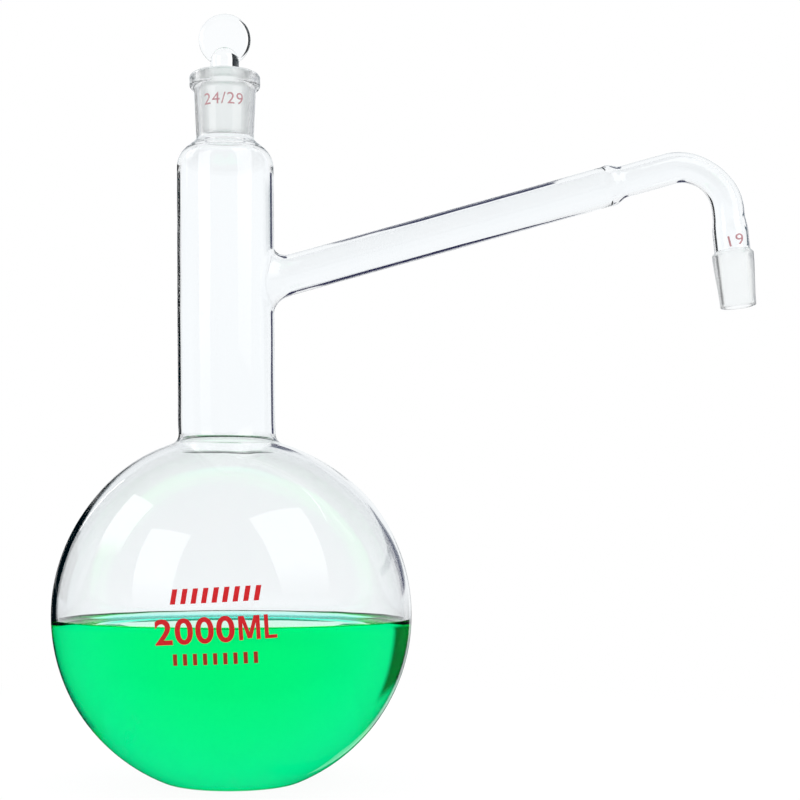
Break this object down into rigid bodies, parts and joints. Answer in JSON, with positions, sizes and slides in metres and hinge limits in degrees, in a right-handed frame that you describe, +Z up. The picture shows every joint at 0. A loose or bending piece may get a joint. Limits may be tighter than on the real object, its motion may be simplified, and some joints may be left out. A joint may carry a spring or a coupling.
{
  "type": "distilling flask",
  "caption": "Round flat-bottomed glass distilling flask with a long neck, a ground glass stopper, a rising side arm and a bent delivery tube that ends in a ground cone.",
  "frame": {"origin": "centre of the flat base that the flask stands on, on the neck's axis", "axes": "+Z up the neck's axis to the stopper, +X towards the side arm, +Y away from a viewer who sees the arm on the right"},
  "size_m": [0.3294, 0.166, 0.3569],
  "materials": {
    "clear_glass": "polished",
    "ground_glass": "matte",
    "green_liquid": "gloss",
    "fired_enamel": "satin"
  },
  "bodies": {
    "flask": {"bulb": "clear_glass", "neck_tube": "clear_glass", "neck_shoulder": "clear_glass", "neck_socket": "ground_glass", "liquid": "green_liquid", "arm_flare": "clear_glass", "side_arm": "clear_glass", "arm_reducer": "clear_glass", "delivery_bend": "clear_glass", "delivery_leg": "clear_glass", "ground_cone": "ground_glass"},
    "stopper": {"stopper_plug": "ground_glass", "stopper_head": "clear_glass"}
  },
  "joints": [
    {"name": "stopper_lift", "type": "slide", "parent": "flask", "child": "stopper", "axis": [0, 0, 1], "range_m": [0, 0.05]}
  ]
}
